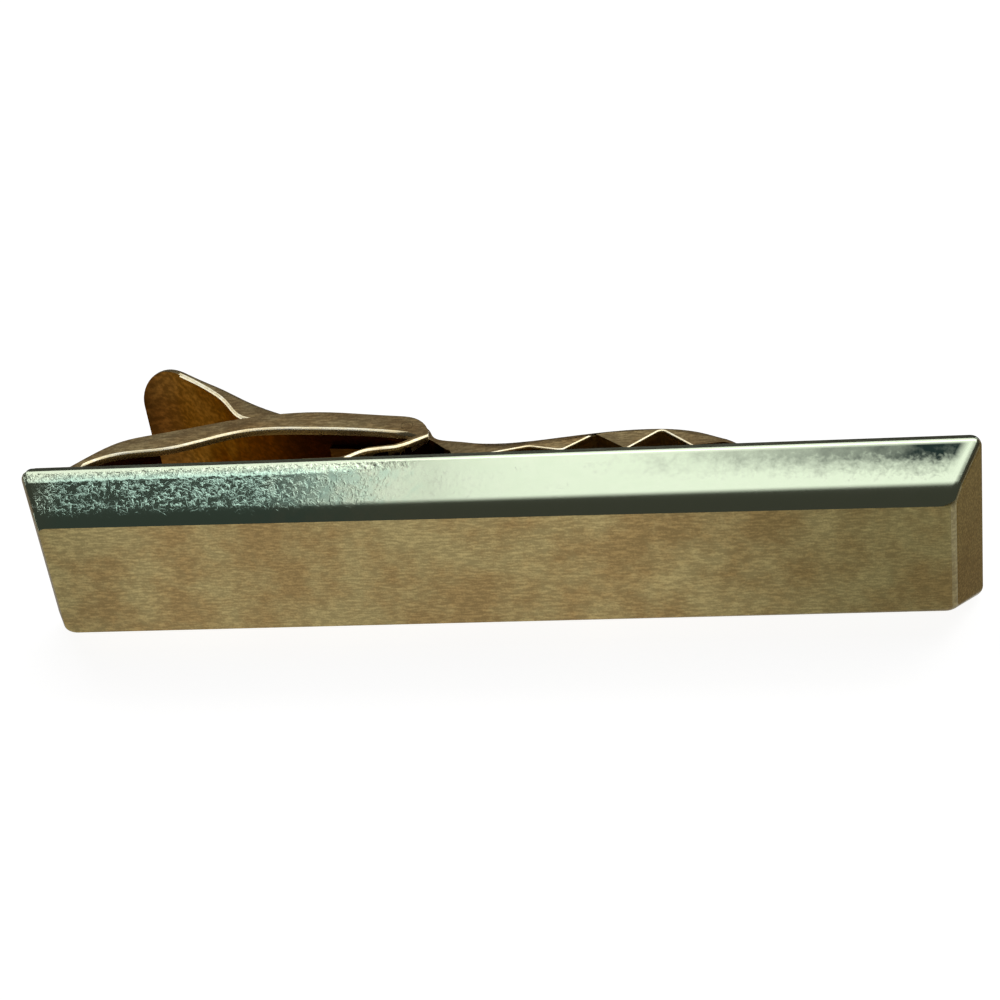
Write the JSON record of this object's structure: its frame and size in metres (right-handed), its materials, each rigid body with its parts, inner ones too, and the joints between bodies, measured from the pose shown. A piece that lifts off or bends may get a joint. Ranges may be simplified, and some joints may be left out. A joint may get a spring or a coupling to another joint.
{
  "type": "tie clip",
  "caption": "Gold tie clip: hollow drafted bar with a satin front and polished edges, closed by a back plate that carries a sprung toothed jaw with a thumb tab.",
  "frame": {"origin": "middle of the bar's front face", "axes": "+X along the bar towards the jaw's nose, +Y from the front face towards the clip behind, +Z across the bar's width"},
  "size_m": [0.057, 0.0164, 0.0116],
  "materials": {
    "bar_gold": "gold plated, satin front and polished sides",
    "clip_gold": "gold plated, satin",
    "spring_steel": "plain spring steel"
  },
  "bodies": {
    "bar": {"bar_shell": "bar_gold", "back_plate": "bar_gold", "hinge_bracket": "clip_gold", "hinge_pin": "clip_gold", "hairpin_spring": "spring_steel"},
    "lever": {"jaw_lever": "clip_gold"}
  },
  "joints": [
    {"name": "lever_hinge", "type": "hinge", "parent": "bar", "child": "lever", "pos_m": [-0.0053, 0.00755, 0], "axis": [0, 0, 1], "range_deg": [0, 24], "stiffness_Nm_per_rad": 0.03, "springref_deg": -68.75, "deforming": ["hairpin_spring"]}
  ]
}
